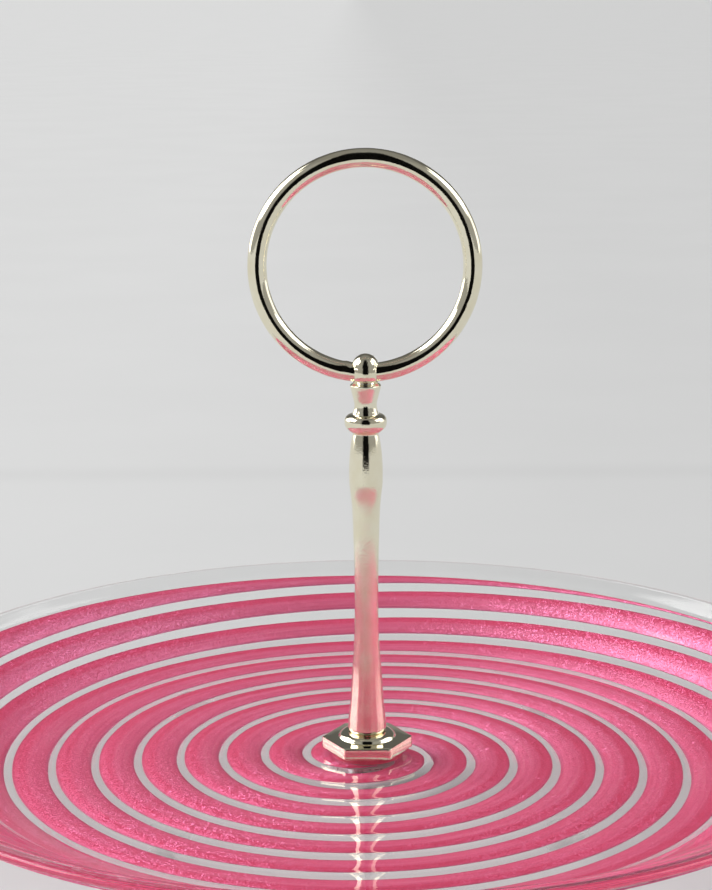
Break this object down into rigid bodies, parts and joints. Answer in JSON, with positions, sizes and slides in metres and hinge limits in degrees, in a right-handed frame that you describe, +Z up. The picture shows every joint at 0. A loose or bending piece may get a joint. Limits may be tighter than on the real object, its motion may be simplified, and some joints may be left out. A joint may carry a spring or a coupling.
{
  "type": "cake stand",
  "caption": "Centre-handle cake stand: shallow clear rippled glass dish with a brushed pink glitter swirl, and a gilt turned stem with a ring handle on a hexagonal flange.",
  "frame": {"origin": "on the table, under the centre of the dish", "axes": "+Z up along the stem, +X along the plane of the ring at rest, -Y towards the front"},
  "size_m": [0.2374, 0.2374, 0.1533],
  "materials": {
    "gilt": "polished pale gold plating on a zinc casting, faintly pitted along the shaft",
    "glass": "clear, gently rippled, fire-polished rim",
    "pink_enamel": "hand-brushed pink enamel with fine glitter, seen through the glass",
    "soft_clear": "clear soft plastic, satin",
    "steel": "zinc-plated steel, turned"
  },
  "bodies": {
    "dish": {"glass_dish": "glass", "swirl_band_a": "pink_enamel", "swirl_band_b": "pink_enamel", "upper_washer": "soft_clear", "lower_washer": "soft_clear", "base_washer": "steel", "base_screw": "steel", "foot_1": "soft_clear", "foot_2": "soft_clear", "foot_3": "soft_clear", "foot_4": "soft_clear"},
    "flange": {"hex_flange": "gilt"},
    "stem": {"stem": "gilt"},
    "ring": {"ring_handle": "gilt"}
  },
  "joints": [
    {"name": "flange_lift", "type": "slide", "parent": "dish", "child": "flange", "axis": [0, 0, 1], "range_m": [0, 0.00975]},
    {"name": "stem_unscrew", "type": "hinge", "parent": "flange", "child": "stem", "pos_m": [0, 0, 0.016], "axis": [0, 0, 1], "range_deg": [0, 3510]},
    {"name": "ring_swing", "type": "hinge", "parent": "stem", "child": "ring", "pos_m": [0, 0, 0.10225], "axis": [1, 0, 0], "range_deg": [-173, 173]}
  ],
  "couplings": [
    {"joint": "flange_lift", "follows": "stem_unscrew", "m_per_rad": 0.00015915}
  ]
}
